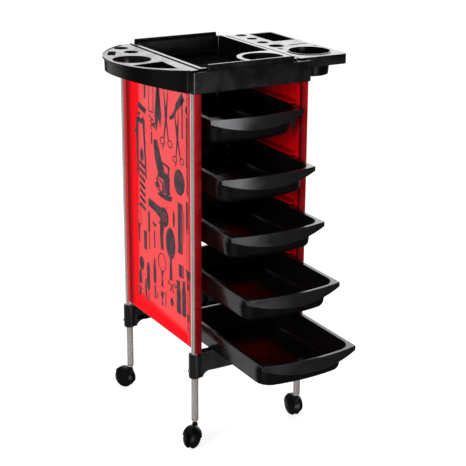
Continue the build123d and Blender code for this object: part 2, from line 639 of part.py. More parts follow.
def drawer():
    """One tray with its front corners at y = 0 and its rim's top at z = 0."""
    radius = bow_radius()
    centre_y = radius - DRAWER_BOW
    rim = make_face([ThreePointArc((-DRAWER_HALF, 0), (0, -DRAWER_BOW), (DRAWER_HALF, 0)),
                     Polyline((DRAWER_HALF, 0), (DRAWER_HALF, DRAWER_LENGTH), (-DRAWER_HALF, DRAWER_LENGTH),
                              (-DRAWER_HALF, 0))])
    rim = fillet(rim.vertices().sort_by(Axis.Y)[-2:], RIM_CORNER_R)
    shape = prism(rim, -RIM_T, 0)
    # front lip: a bent strip, taller in the middle than at its ends
    band = Pos(0, centre_y) * (Circle(radius) - Circle(radius - LIP_T))
    band &= Pos(0, -DRAWER_BOW / 2 + 3) * Rectangle(2 * DRAWER_HALF, DRAWER_BOW + 6)
    lip = prism(band, -LIP_TALL, -0.5)
    past = DRAWER_HALF + 1
    under = make_face([ThreePointArc((-past, -LIP_ENDS), (0, -LIP_TALL), (past, -LIP_ENDS)),
                       Polyline((past, -LIP_ENDS), (past, 0), (-past, 0), (-past, -LIP_ENDS))])
    lip &= Pos(0, 50, 0) * Rot(90, 0, 0) * extrude(under, 100)
    shape += lip
    shape += tub(-DRAWER_WALL, DRAWER_DEPTH, TUB_FILLET)
    return shape - tub(0, DRAWER_DEPTH - DRAWER_WALL, TUB_FILLET - DRAWER_WALL, over=1.0)


# ---------------------------------------------------------------- casters
def caster_place(side_x, side_y, turn):
    """From the caster's own frame (stem at the origin, wheels towards +Y) to its post."""
    return Pos(side_x * POST_X, side_y * POST_Y, 0) * Rot(0, 0, -turn)


def caster_stem():
    """The steel stem with its collar."""
    stem = rod(0, 0, STEM_BOTTOM, POST_BOTTOM + 30, STEM_R) + rod(0, 0, COLLAR_Z, PLUG_FLANGE, COLLAR_R)
    tip = stem.edges().filter_by(GeomType.CIRCLE).sort_by(Axis.Z)[-1]
    return chamfer(tip, 1.0)


def disc_yz(radius, half):
    """A disc about the wheels' axle."""
    return Pos(-half, TRAIL, WHEEL_R) * Rot(0, 90, 0) * Cylinder(
        radius, 2 * half, align=(Align.CENTER, Align.CENTER, Align.MIN))


def dome(start, grow):
    """One domed wheel's outer shape about Z, from start outwards, grown by a gap all round."""
    mid_out, mid_r = DOME_MID
    out = WHEEL_OUT + grow
    radius = WHEEL_R + grow
    side = ThreePointArc((radius, TREAD), (mid_r + 0.7 * grow, mid_out + 0.7 * grow), (CAP_R, out))
    profile = make_face([Line((0, start), (radius, start)), Line((radius, start), (radius, TREAD)), side,
                         Line((CAP_R, out), (0, out)), Line((0, out), (0, start))])
    return revolve(Plane.XZ * profile, Axis.Z)


def both_domes(grow):
    """The shape of both wheels together in their place on the axle."""
    right = dome(0, grow)
    return Pos(0, TRAIL, WHEEL_R) * (Rot(0, 90, 0) * right + Rot(0, -90, 0) * right)


def caster_housing():
    """The black body: neck and boss round the stem, web, axle hub and hood over the wheels."""
    boss = rod(0, 0, BOSS_Z[0], BOSS_Z[1], BOSS_R) - both_domes(HOOD_GAP)
    neck = rod(0, 0, BOSS_Z[1], NECK_TOP, NECK_R)
    web = disc_yz(WEB_R, WEB_HALF) + box(-WEB_HALF, WEB_HALF, 0, TRAIL, BOSS_Z[0] - 12, BOSS_Z[0] + 4)
    hub = disc_yz(HUB_R, WHEEL_IN - 0.4)
    hood = both_domes(HOOD_GAP + HOOD_T) - both_domes(HOOD_GAP)
    spine = disc_yz(WHEEL_R + HOOD_GAP + 0.5, WEB_HALF) - disc_yz(WEB_R - 1, WEB_HALF + 1)
    reach = 2 * WHEEL_R
    steps = 4
    turns = [HOOD_FROM + (HOOD_TO - HOOD_FROM) * k / steps for k in range(steps + 1)]
    wedge = polygon([(0, 0)] + [(reach * cos(radians(a)), reach * sin(radians(a))) for a in turns])
    sector = Pos(-WHEEL_R, TRAIL, WHEEL_R) * extrude(Plane.YZ * wedge, 2 * WHEEL_R)
    shape = boss + neck + web + hub + ((hood + spine) & sector)
    shape -= rod(0, 0, STEM_BOTTOM - 0.5, NECK_TOP + 5, STEM_R + RUNNING)
    return shape - disc_yz(AXLE_R, WHEEL_OUT)


def caster_axle():
    """The steel axle through the housing's hub."""
    return disc_yz(AXLE_R, WHEEL_OUT - 2.5)


def caster_wheel(side):
    """One wheel: narrow tread, domed side with a shallow ring round its cap, blind bore."""
    wheel = dome(WHEEL_IN, 0)
    tread = wheel.edges().filter_by(GeomType.CIRCLE).filter_by(lambda e: e.radius > WHEEL_R - 0.1)
    wheel = fillet(tread.sort_by(Axis.Z)[0], 1.0)
    ring = Pos(0, 0, WHEEL_OUT) * (Cylinder(CAP_R - 1.5, 1.2) - Cylinder(CAP_R - 3.5, 2))
    inside = Pos(0, 0, WHEEL_IN) * (Cylinder(21.0, 6) - Cylinder(HUB_R, 7))
    bore = rod(0, 0, 0, WHEEL_OUT - 1.5, AXLE_R + RUNNING)
    return Pos(0, TRAIL, WHEEL_R) * Rot(0, 90 * side, 0) * (wheel - ring - inside - bore)


# ---------------------------------------------------------------- assembly
def assembly():
    """Every node by name, about the middle of the posts."""
    parts = {
        "top_frame": top_frame(),
        "left_wing_tray": left_wing(),
        "right_wing_tray": right_wing(),
        "front_cross_rail": cross_rail(-1),
        "rear_cross_rail": cross_rail(1),
        "rail_screws": rail_screws(),
        "top_screws": top_screws(),
        "post_plugs": post_plugs(),
    }
    for name, side_x in (("left", -1), ("right", 1)):
        parts[name + "_side_panel"] = side_panel(side_x)
        parts[name + "_printed_film"] = printed_film(side_x)
    for name, side_x, side_y in corners():
        parts[name + "_post"] = post(side_x, side_y)
    tray = drawer()
    for k, (top, tip) in enumerate(zip(DRAWER_TOPS, DRAWER_TIPS)):
        parts["drawer_" + str(k + 1)] = Pos(0, tip, top) * tray
    for name, side_x, side_y in corners():
        place = caster_place(side_x, side_y, CASTER_TURNS[name])
        parts[name + "_caster_stem"] = place * caster_stem()
        parts[name + "_caster_housing"] = place * caster_housing()
        parts[name + "_caster_axle"] = place * caster_axle()
        parts[name + "_caster_wheel_a"] = place * caster_wheel(-1)
        parts[name + "_caster_wheel_b"] = place * caster_wheel(1)
    return parts


def main():
    """Write one STEP for each node."""
    os.makedirs("parts", exist_ok=True)
    front = 0.0
    back = 0.0
    for name, shape in assembly().items():
        placed = Pos(0, ORIGIN_TO_POSTS, 0) * shape
        reach = placed.bounding_box()
        front = min(front, reach.min.Y)
        back = max(back, reach.max.Y)
        export_step(placed, "parts/" + name + ".step")
    print("front and back of the whole, which the origin lies halfway between:", front, back)


main()
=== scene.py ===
"""Looks of the rolling salon trolley: camera, light, materials and the printed artwork.

Metres unless a comment says otherwise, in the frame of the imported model: X right, Y back, Z up
from the floor.
"""
from math import cos, radians, sin
import bmesh
import bpy
from mathutils import Matrix, Vector
from mathutils.geometry import tessellate_polygon


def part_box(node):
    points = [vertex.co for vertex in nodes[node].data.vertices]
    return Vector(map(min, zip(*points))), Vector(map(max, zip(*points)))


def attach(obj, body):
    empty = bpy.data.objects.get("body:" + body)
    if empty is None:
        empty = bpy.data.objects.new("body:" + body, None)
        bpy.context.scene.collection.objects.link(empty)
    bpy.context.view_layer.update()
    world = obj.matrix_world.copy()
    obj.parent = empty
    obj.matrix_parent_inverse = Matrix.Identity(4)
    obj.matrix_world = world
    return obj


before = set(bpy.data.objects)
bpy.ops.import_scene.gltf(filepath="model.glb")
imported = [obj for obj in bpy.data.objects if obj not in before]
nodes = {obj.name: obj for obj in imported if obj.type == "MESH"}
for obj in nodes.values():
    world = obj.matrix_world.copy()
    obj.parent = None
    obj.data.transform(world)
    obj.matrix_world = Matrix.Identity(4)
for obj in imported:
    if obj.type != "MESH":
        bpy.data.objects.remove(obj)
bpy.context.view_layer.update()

MM = 0.001
scene = bpy.context.scene


# ---------------------------------------------------------------- places on the trolley
def middle_y():
    """The middle of the four posts in Y, from the frame."""
    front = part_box("front_left_post")
    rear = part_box("rear_left_post")
    return (front[0][1] + rear[1][1]) / 2


MID_Y = middle_y()

# the two gaps between the bin's rim and the wings
SLOT_MIDDLE = 123.2 * MM      # distance in X from the middle of the trolley
SLOT_HALF = 3.0 * MM          # half the width, with both walls
SLOT_REACH = 165.0 * MM       # distance in Y from the middle of the posts to the ends
SLOT_FLOOR = 840.0 * MM


# ---------------------------------------------------------------- camera
SENSOR = 36.0                 # mm
LENS = 97.86                  # mm
YAW = 30.07                   # degrees left of the front
PITCH = 18.716                # degrees down
ROLL = 0.396                  # degrees
STAND = Vector((-1.3458, MID_Y - 2.4232, 1.3699))


def make_camera():
    """The camera: a long lens, left of the front and a little above."""
    data = bpy.data.cameras.new("camera")
    camera = bpy.data.objects.new("camera", data)
    scene.collection.objects.link(camera)
    data.sensor_width = SENSOR
    data.lens = LENS
    yaw = radians(YAW)
    pitch = radians(PITCH)
    roll = radians(ROLL)
    ahead = Vector((sin(yaw) * cos(pitch), cos(yaw) * cos(pitch), -sin(pitch)))
    right = Vector((cos(yaw), -sin(yaw), 0.0))
    up = right.cross(ahead)
    tilted_right = cos(roll) * right + sin(roll) * up
    tilted_up = -sin(roll) * right + cos(roll) * up
    place = Matrix((tilted_right, tilted_up, -ahead)).transposed().to_4x4()
    place.translation = STAND
    camera.matrix_world = place
    scene.camera = camera


# ---------------------------------------------------------------- light
AMBIENT = 0.03                # what the world gives from every side
BACKDROP = 1.1                # what the camera sees of it behind the trolley


def studio_lobes():
    """The pale things that stand round the trolley, each a round lobe of the world.

    A lobe is its direction, the angles in degrees from it where it fades out and where it is full,
    and its strength.
    """
    return [
        (aim(137.0, 9.0), 34.0, 4.0, 2.5),       # window behind on the right, low over the top tray
        (aim(7.0, -2.5), 18.0, 11.0, 8.2),       # softbox in front
        (aim(-62.0, -24.0), 26.0, 12.0, 0.15),   # pale table in front on the left
        (aim(-150.0, -20.0), 32.0, 12.0, 0.6),   # pale table behind on the left
        (aim(180.0, 80.0), 60.0, 20.0, 0.35),    # ceiling
    ]


def lobe(tree, direction, wide, tight, strength):
    """World radiance that rises smoothly towards one direction, between two angles from it."""
    new = tree.nodes.new
    coords = new("ShaderNodeTexCoord")
    dot = new("ShaderNodeVectorMath")
    dot.operation = "DOT_PRODUCT"
    dot.inputs[1].default_value = direction
    tree.links.new(coords.outputs["Generated"], dot.inputs[0])
    ramp = new("ShaderNodeMapRange")
    ramp.interpolation_type = "SMOOTHSTEP"
    ramp.inputs["From Min"].default_value = cos(radians(wide))
    ramp.inputs["From Max"].default_value = cos(radians(tight))
    ramp.inputs["To Min"].default_value = 0.0
    ramp.inputs["To Max"].default_value = strength
    tree.links.new(dot.outputs["Value"], ramp.inputs["Value"])
    return ramp.outputs["Result"]


def aim(turn, rise):
    """A direction: turned from the front towards +X and raised, in degrees."""
    return Vector((sin(radians(turn)) * cos(radians(rise)), -cos(radians(turn)) * cos(radians(rise)),
                   sin(radians(rise))))


def add_values(tree, first, second):
    """The sum of two numbers in a node tree."""
    total = tree.nodes.new("ShaderNodeMath")
    total.operation = "ADD"
    tree.links.new(first, total.inputs[0])
    tree.links.new(second, total.inputs[1])
    return total.outputs[0]


def make_world():
    """A white backdrop for the camera, and a studio for everything else."""
    world = bpy.data.worlds.new("studio")
    world.use_nodes = True
    scene.world = world
    tree = world.node_tree
    tree.nodes.clear()
    ambient = tree.nodes.new("ShaderNodeValue")
    ambient.outputs[0].default_value = AMBIENT
    total = ambient.outputs[0]
    for direction, wide, tight, strength in studio_lobes():
        total = add_values(tree, total, lobe(tree, direction, wide, tight, strength))
    studio = tree.nodes.new("ShaderNodeBackground")
    tree.links.new(total, studio.inputs["Strength"])
    backdrop = tree.nodes.new("ShaderNodeBackground")
    backdrop.inputs["Strength"].default_value = BACKDROP
    for node in (studio, backdrop):
        node.inputs["Color"].default_value = (1.0, 1.0, 1.0, 1.0)
    path = tree.nodes.new("ShaderNodeLightPath")
    mix = tree.nodes.new("ShaderNodeMixShader")
    tree.links.new(path.outputs["Is Camera Ray"], mix.inputs[0])
    tree.links.new(studio.outputs[0], mix.inputs[1])
    tree.links.new(backdrop.outputs[0], mix.inputs[2])
    output = tree.nodes.new("ShaderNodeOutputWorld")
    tree.links.new(mix.outputs[0], output.inputs["Surface"])


def area_light(name, place, target, size, power):
    """A square softbox that faces a point."""
    data = bpy.data.lights.new(name, "AREA")
    data.size = size
    data.energy = power
    light = bpy.data.objects.new(name, data)
    scene.collection.objects.link(light)
    ahead = Vector(target) - Vector(place)
    light.matrix_world = Matrix.Translation(place) @ ahead.to_track_quat("-Z", "Y").to_matrix().to_4x4()
    light.visible_glossy = False


def make_lights():
    """The key softbox on the left, a little to the front, and a weaker one overhead."""
    target = (0.0, MID_Y, 0.45)       # half-way up the trolley
    area_light("key_light", (-2.6, MID_Y - 1.35, 1.2), target, 1.3, 72.0)
    area_light("top_light", (0.3, MID_Y + 0.6, 2.8), target, 1.6, 40.0)


FLOOR_GLOW = 0.82             # the floor is as pale as the backdrop and still takes soft shadows


def make_floor():
    """A plain pale floor just round the trolley."""
    mesh = bpy.data.meshes.new("floor")
    half_x = 1.7
    front = MID_Y - 1.1
    back = MID_Y + 1.5
    mesh.from_pydata([(-half_x, front, 0), (half_x, front, 0), (half_x, back, 0), (-half_x, back, 0)],
                     [], [(0, 1, 2, 3)])
    floor = bpy.data.objects.new("floor", mesh)
    scene.collection.objects.link(floor)
    mat = bpy.data.materials.new("floor_white")
    mat.use_nodes = True
    shader = mat.node_tree.nodes["Principled BSDF"]
    shader.inputs["Base Color"].default_value = (0.42, 0.42, 0.42, 1.0)
    shader.inputs["Roughness"].default_value = 0.9
    shader.inputs["Specular IOR Level"].default_value = 0.0
    shader.inputs["Emission Color"].default_value = (1.0, 1.0, 1.0, 1.0)
    shader.inputs["Emission Strength"].default_value = FLOOR_GLOW
    mesh.materials.append(mat)
    floor.visible_glossy = False


# ---------------------------------------------------------------- materials
class Surface:
    """A node material being built: a Principled shader and shared object coordinates."""

    def __init__(self, name):
        self.mat = bpy.data.materials.new(name)
        self.mat.use_nodes = True
        self.tree = self.mat.node_tree
        self.shader = self.tree.nodes["Principled BSDF"]
        self.coords = self.tree.nodes.new("ShaderNodeTexCoord").outputs["Object"]
        self.normal = None

    def put(self, socket, value):
        """Set a number or a colour on the shader, or link a node's output to it."""
        if isinstance(value, bpy.types.NodeSocket):
            self.tree.links.new(value, self.shader.inputs[socket])
        elif isinstance(value, (int, float)):
            self.shader.inputs[socket].default_value = value
        else:
            self.shader.inputs[socket].default_value = (*value, 1.0)

    def noise(self, scale, detail=3.0, stretch=(1.0, 1.0, 1.0)):
        """Noise in object space, its scale per metre."""
        place = self.tree.nodes.new("ShaderNodeMapping")
        place.inputs["Scale"].default_value = stretch
        self.tree.links.new(self.coords, place.inputs["Vector"])
        node = self.tree.nodes.new("ShaderNodeTexNoise")
        node.inputs["Scale"].default_value = scale
        node.inputs["Detail"].default_value = detail
        self.tree.links.new(place.outputs["Vector"], node.inputs["Vector"])
        return node.outputs["Fac"]

    def ramp(self, value, low, high, to_low=0.0, to_high=1.0, smooth=True):
        """A number carried from one range to another."""
        node = self.tree.nodes.new("ShaderNodeMapRange")
        node.interpolation_type = "SMOOTHSTEP" if smooth else "LINEAR"
        node.inputs["From Min"].default_value = low
        node.inputs["From Max"].default_value = high
        node.inputs["To Min"].default_value = to_low
        node.inputs["To Max"].default_value = to_high
        self.tree.links.new(value, node.inputs["Value"])
        return node.outputs["Result"]

    def multiply(self, first, second):
        """The product of two numbers."""
        node = self.tree.nodes.new("ShaderNodeMath")
        node.operation = "MULTIPLY"
        self.tree.links.new(first, node.inputs[0])
        self.tree.links.new(second, node.inputs[1])
        return node.outputs[0]

    def difference(self, first, second):
        """One number less another; the second may be a plain number."""
        node = self.tree.nodes.new("ShaderNodeMath")
        node.operation = "SUBTRACT"
        self.tree.links.new(first, node.inputs[0])
        if isinstance(second, bpy.types.NodeSocket):
            self.tree.links.new(second, node.inputs[1])
        else:
            node.inputs[1].default_value = second
        return node.outputs[0]

    def distance(self, value, middle):
        """How far a number is from a middle value."""
        node = self.tree.nodes.new("ShaderNodeMath")
        node.operation = "ABSOLUTE"
        self.tree.links.new(self.difference(value, middle), node.inputs[0])
        return node.outputs[0]

    def blend(self, factor, first, second):
        """Two colours mixed by a factor; either may be a node's output."""
        node = self.tree.nodes.new("ShaderNodeMix")
        node.data_type = "RGBA"
        self.tree.links.new(factor, node.inputs["Factor"])
        for socket, colour in ((node.inputs[6], first), (node.inputs[7], second)):
            if isinstance(colour, bpy.types.NodeSocket):
                self.tree.links.new(colour, socket)
            else:
                socket.default_value = (*colour, 1.0)
        return node.outputs[2]

    def bump(self, height, distance, strength):
        """Add relief; several calls stack."""
        node = self.tree.nodes.new("ShaderNodeBump")
        node.inputs["Distance"].default_value = distance
        node.inputs["Strength"].default_value = strength
        self.tree.links.new(height, node.inputs["Height"])
        if self.normal is not None:
            self.tree.links.new(self.normal, node.inputs["Normal"])
        self.normal = node.outputs["Normal"]
        self.tree.links.new(self.normal, self.shader.inputs["Normal"])

    def round_edges(self, radius):
        """Shade the edges as if they were rounded; relief is added after this."""
        node = self.tree.nodes.new("ShaderNodeBevel")
        node.samples = 6
        node.inputs["Radius"].default_value = radius
        self.normal = node.outputs["Normal"]
        self.tree.links.new(self.normal, self.shader.inputs["Normal"])

    def axes(self):
        """X, Y and Z of the object coordinates as three numbers."""
        node = self.tree.nodes.new("ShaderNodeSeparateXYZ")
        self.tree.links.new(self.coords, node.inputs[0])
        return node.outputs["X"], node.outputs["Y"], node.outputs["Z"]

    def edges(self):
        """How sharply the surface turns outwards: about 0.5 on a flat, more on an edge."""
        return self.tree.nodes.new("ShaderNodeNewGeometry").outputs["Pointiness"]


def in_slots(s):
    """One on the walls of the two long gaps between the bin's rim and the wings, elsewhere zero."""
    x, y, z = s.axes()
    across = s.ramp(s.distance(s.distance(x, 0.0), SLOT_MIDDLE), SLOT_HALF, SLOT_HALF + 0.2 * MM, 1.0, 0.0)
    along = s.ramp(s.distance(y, MID_Y), SLOT_REACH, SLOT_REACH + 2 * MM, 1.0, 0.0)
    above = s.ramp(z, SLOT_FLOOR, SLOT_FLOOR + 2 * MM)
    return s.multiply(s.multiply(across, along), above)


def black_plastic(name, roughness, gloss=0.42, slots=False):
    """Semi-gloss moulded black plastic with a faint grain and slightly paler edges, partly wear and partly
    painted highlight.

    Where it has slots, the walls of the two long gaps beside the bin are dull.
    """
    s = Surface(name)
    cloud = s.noise(9.0)
    tone = s.blend(s.ramp(cloud, 0.35, 0.7), (0.0022, 0.0021, 0.0024), (0.0033, 0.0032, 0.0036))
    # paler edges: partly wear, partly a painted highlight
    wear_and_highlight = s.ramp(s.edges(), 0.53, 0.62)
    s.put("Base Color", s.blend(wear_and_highlight, tone, (0.009, 0.009, 0.010)))
    s.put("Roughness", s.ramp(s.noise(32.0, 4.0), 0.3, 0.7, roughness - 0.04, roughness + 0.06))
    if slots:
        s.put("Specular IOR Level", s.ramp(in_slots(s), 0.0, 1.0, gloss, 0.0))
    else:
        s.put("Specular IOR Level", gloss)
    s.put("Specular Tint", (0.97, 0.965, 1.0))
    s.round_edges(1.2 * MM)
    s.bump(s.noise(18.0, 2.0), 0.5 * MM, 0.15)
    s.bump(s.noise(1400.0, 2.0), 0.02 * MM, 0.5)
    return s.mat


FLANGE_ZONE = 8 * MM          # the panel's last stretch in Y, front and rear, which is its flanges
FLANGE_SHADE_START = 139 * MM        # distance in X from the middle of the trolley where painted shade on a flange starts, and where it is deepest
FLANGE_SHADE_FULL = 124 * MM        # to deepen in colour, and where it is deepest


def red_plastic():
    """Red moulding with a faint flow pattern; painted shade darkens its flanges inwards and towards the
    floor.
    """
    s = Surface("red_plastic")
    flow = s.noise(5.0, 4.0, (1.0, 1.0, 0.3))
    red = s.blend(s.ramp(flow, 0.3, 0.7), (0.62, 0.001, 0.007), (0.52, 0.001, 0.005))
    x, y, z = s.axes()
    low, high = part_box("left_side_panel")
    flange_y = high[1] - MID_Y - FLANGE_ZONE
    outside = s.ramp(s.distance(y, MID_Y), flange_y - 1 * MM, flange_y)
    # painted shade: the flanges darken towards the inside of the channel
    inward_shade = s.ramp(s.distance(x, 0.0), FLANGE_SHADE_START, FLANGE_SHADE_FULL, smooth=False)
    red = s.blend(s.multiply(outside, inward_shade), red, (0.09, 0.001, 0.003))
    # painted shade: the flanges darken towards the floor
    low_shade = s.ramp(z, high[2], low[2], 0.3, 0.93, smooth=False)
    s.put("Base Color", s.blend(s.multiply(outside, low_shade), red, (0.11, 0.001, 0.002)))
    s.put("Roughness", s.ramp(s.noise(40.0), 0.3, 0.7, 0.22, 0.32))
    s.put("Specular IOR Level", 0.10)
    s.round_edges(0.8 * MM)
    s.bump(s.noise(9.0, 2.0), 0.2 * MM, 0.15)
    return s.mat


BORDER_FOOT = 104 * MM        # where the coral field ends at the rear, from the middle of the posts:
BORDER_TOP = 88 * MM          # low on the panel and at its top
SILL_FRONT = 22 * MM          # height of the pure red strip under the field, at the front
SILL_REAR = 44 * MM           # and at the rear
BORDER_BLUR = 8 * MM          # half the width over which the field fades into the rear border
SILL_BLUR = 9 * MM            # and into the strip under it
REAR_SHADE_START = 32 * MM          # distance from the rear edge where the painted shade on the pure red starts
REAR_SHADE_FULL = 6 * MM            # and where it is darkest


def red_film(name):
    """Printed film of pure red; its coral field is a painted reflection, paler towards the top, and painted
    shade darkens its rear edge.
    """
    s = Surface(name)
    low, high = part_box("left_printed_film")
    _, y, z = s.axes()
    lift = s.ramp(z, low[2], high[2], smooth=False)
    border = s.ramp(z, low[2], high[2], MID_Y + BORDER_FOOT, MID_Y + BORDER_TOP, smooth=False)
    rear = s.ramp(s.difference(y, border), -BORDER_BLUR, BORDER_BLUR, 1.0, 0.0)
    sill = s.ramp(y, low[1], high[1], low[2] + SILL_FRONT, low[2] + SILL_REAR, smooth=False)
    foot = s.ramp(s.difference(z, sill), -SILL_BLUR, SILL_BLUR)
    # painted reflection: the coral field over the pure red, paler towards the top
    painted_sheen = s.blend(lift, (0.84, 0.056, 0.060), (0.80, 0.112, 0.120))
    cloud = s.ramp(s.noise(16.0, 3.0), 0.3, 0.75)
    painted_sheen = s.blend(cloud, painted_sheen, (0.84, 0.070, 0.076))
    # painted shade: the pure red darkens towards the rear edge
    rear_shade = s.ramp(y, high[1] - REAR_SHADE_START, high[1] - REAR_SHADE_FULL)
    pure = s.blend(rear_shade, (0.86, 0.002, 0.008), (0.20, 0.001, 0.003))
    s.put("Base Color", s.blend(s.multiply(rear, foot), pure, painted_sheen))
    s.put("Roughness", s.ramp(s.noise(60.0), 0.3, 0.7, 0.30, 0.42))
    s.put("Specular IOR Level", 0.02)
    s.bump(s.noise(22.0, 2.0), 0.25 * MM, 0.3)
    return s.mat


def ink():
    """Dark print, a little thin in places so the red shows through."""
    s = Surface("ink")
    patch = s.ramp(s.noise(45.0, 4.0), 0.35, 0.75)
    s.put("Base Color", s.blend(patch, (0.046, 0.034, 0.040), (0.095, 0.050, 0.058)))
    s.put("Roughness", s.ramp(s.noise(120.0), 0.3, 0.7, 0.34, 0.46))
    s.put("Specular IOR Level", 0.03)
    return s.mat


DRAWN_GRAIN = (1.0, 1.0, 0.04)      # noise stretched along an upright tube
EVEN_GRAIN = (1.0, 1.0, 1.0)


def satin_metal(name, colour, roughness, grain=DRAWN_GRAIN, metallic=1.0):
    """Metal with fine lines, along its length where it is drawn, and faint smudges."""
    s = Surface(name)
    smudge = s.ramp(s.noise(14.0), 0.3, 0.7)
    s.put("Base Color", s.blend(smudge, colour, tuple(0.86 * c for c in colour)))
    s.put("Metallic", metallic)
    s.put("Roughness", s.ramp(s.noise(600.0, 3.0, grain), 0.3, 0.7, roughness - 0.06, roughness + 0.06))
    s.bump(s.noise(900.0, 3.0, grain), 0.01 * MM, 0.5)
    return s.mat


def matte_black(name):
    """Nylon of the wheels: matte, with a fine grain."""
    s = Surface(name)
    # paler edges: partly wear, partly a painted highlight
    wear_and_highlight = s.ramp(s.edges(), 0.52, 0.62)
    s.put("Base Color", s.blend(wear_and_highlight, (0.0035, 0.003, 0.0035), (0.012, 0.012, 0.012)))
    s.put("Roughness", s.ramp(s.noise(80.0), 0.3, 0.7, 0.36, 0.5))
    s.put("Specular IOR Level", 0.2)
    s.round_edges(0.6 * MM)
    s.bump(s.noise(1100.0, 2.0), 0.03 * MM, 0.6)
    return s.mat


def dress(names, mat):
    """Give CAD nodes a material."""
    for name in names:
        slots = nodes[name].data.materials
        slots.clear()
        slots.append(mat)


def dress_nodes():
    """A material for every CAD node."""
    ends = ("front_left", "front_right", "rear_left", "rear_right")
    dress(["top_frame"], black_plastic("frame_black", 0.17, slots=True))
    dress(["left_wing_tray", "right_wing_tray"], black_plastic("wing_black", 0.20, 0.27, slots=True))
    dress(["front_cross_rail", "rear_cross_rail"], black_plastic("rail_black", 0.26))
    dress(["drawer_%d" % k for k in range(1, 6)], black_plastic("drawer_black", 0.17))
    dress(["left_side_panel", "right_side_panel"], red_plastic())
    dress(["left_printed_film", "right_printed_film"], red_film("red_film"))
    post_metal = satin_metal("post_metal", (0.86, 0.79, 0.76), 0.18, metallic=0.78)
    dress([end + "_post" for end in ends], post_metal)
    dress(["rail_screws", "top_screws"], satin_metal("screw_steel", (0.62, 0.61, 0.60), 0.3, EVEN_GRAIN))
    stem_steel = satin_metal("stem_steel", (0.9, 0.9, 0.9), 0.2, metallic=0.4)
    dress([end + "_caster_stem" for end in ends], stem_steel)
    axle_steel = satin_metal("axle_steel", (0.6, 0.6, 0.6), 0.3, EVEN_GRAIN)
    dress([end + "_caster_axle" for end in ends], axle_steel)
    dress(["post_plugs"], matte_black("plug_black"))
    dress([end + "_caster_housing" for end in ends], black_plastic("caster_black", 0.36, 0.2))
    dress([end + "_caster_wheel_" + w for end in ends for w in "ab"], matte_black("wheel_black"))


# ---------------------------------------------------------------- outlines of the artwork
# Each tool is a list of regions, and a region is (outline, [holes]). Points are (u, v) in
# millimetres from the tool's middle, u towards the front of the trolley and v upwards.
def oval(cu, cv, ru, rv, start=0.0, turn=360.0, steps=28):
    """Points round an ellipse or part of one."""
    closed = abs(turn) >= 360.0
    count = steps if closed else steps + 1
    angles = [radians(start + turn * k / steps) for k in range(count)]
    return [(cu + ru * cos(angle), cv + rv * sin(angle)) for angle in angles]


def soft_box(cu, cv, width, height, corner):
    """Points round a rectangle with rounded corners."""
    points = []
    for su, sv, start in ((1, 1, 0), (-1, 1, 90), (-1, -1, 180), (1, -1, 270)):
        points += oval(cu + su * (width / 2 - corner), cv + sv * (height / 2 - corner), corner, corner,
                       start, 90, 4)
    return points


STROKE_WIDEN = 1.5        # strokes are broader across the panel than along it


def strip(points, widths):
    """A band along a line of points with a width at each."""
    left = []
    right = []
    for k, (u, v) in enumerate(points):
        ahead = Vector(points[min(k + 1, len(points) - 1)]) - Vector(points[max(k - 1, 0)])
        side = Vector((-ahead.y * STROKE_WIDEN, ahead.x)) * widths[k] / 2 / ahead.length
        left.append((u + side.x, v + side.y))
        right.append((u - side.x, v - side.y))
    return left + right[::-1]


def ring(cu, cv, ru, rv, line):
    """An oval outline of some thickness."""
    return (oval(cu, cv, ru, rv), [oval(cu, cv, ru - line * STROKE_WIDEN, rv - line)])


def comb(width, height, teeth, spine=0.35):
    """A comb standing upright, its teeth towards the front."""
    regions = [(soft_box(-width * (1 - spine) / 2, 0, width * spine, height, 1.5), [])]
    pitch = height / teeth
    for k in range(teeth):
        v = -height / 2 + (k + 0.5) * pitch
        tooth = strip([(-width * (0.5 - spine), v), (width / 2, v)], [pitch * 0.8, pitch * 0.6])
        regions.append((tooth, []))
    return regions


def outline_comb(width, height, handle=0.0):
    """A frame-shaped comb, drawn as an outline, with an optional handle below."""
    regions = [(soft_box(0, 0, width, height, 2.5), [soft_box(0, 0, width - 5, height - 6, 1.5)])]
    if handle:
        regions.append((strip([(0, -height / 2), (0, -height / 2 - handle)], [6, 3]), []))
    return regions


def scissors(length, spread, rings=9.0):
    """Open scissors, points up, with a finger rest."""
    blade = length * 0.52
    regions = []
    for side in (-1, 1):
        tilt = radians(spread) * side
        tip = (blade * sin(tilt), blade * cos(tilt))
        heel = (-length * 0.36 * sin(tilt * 1.5), -length * 0.36 * cos(tilt))
        regions.append((strip([tip, (0, 0)], [1.2, 7.0]), []))
        regions.append((strip([(0, 0), heel], [5.0, 3.2]), []))
        regions.append(ring(heel[0] - side * rings * 0.8, heel[1] - rings * 0.8, rings * 1.3, rings, 2.6))
    rest = -length * 0.36 - rings * 1.7
    regions.append((strip([(-rings * 1.4, rest), (-rings * 2.0, rest - rings)], [3.0, 2.0]), []))
    return regions


def razor(length):
    """A straight razor half open."""
    blade = strip([(0, 0), (0, length * 0.5)], [11, 13])
    handle = strip([(0, 0), (length * 0.06, -length * 0.25), (0, -length * 0.5)], [6, 8, 5])
    return [(blade, []), (handle, [])]


def spike(length, width):
    """A long closed blade, point down."""
    blade = strip([(0, length / 2), (0, -length * 0.2), (0, -length / 2)], [width * 0.45, width, 0.8])
    return [(blade, [])]


def rod(length, width):
    """A thin straight tool with rounded ends."""
    return [(soft_box(0, 0, width, length, width * 0.45), [])]


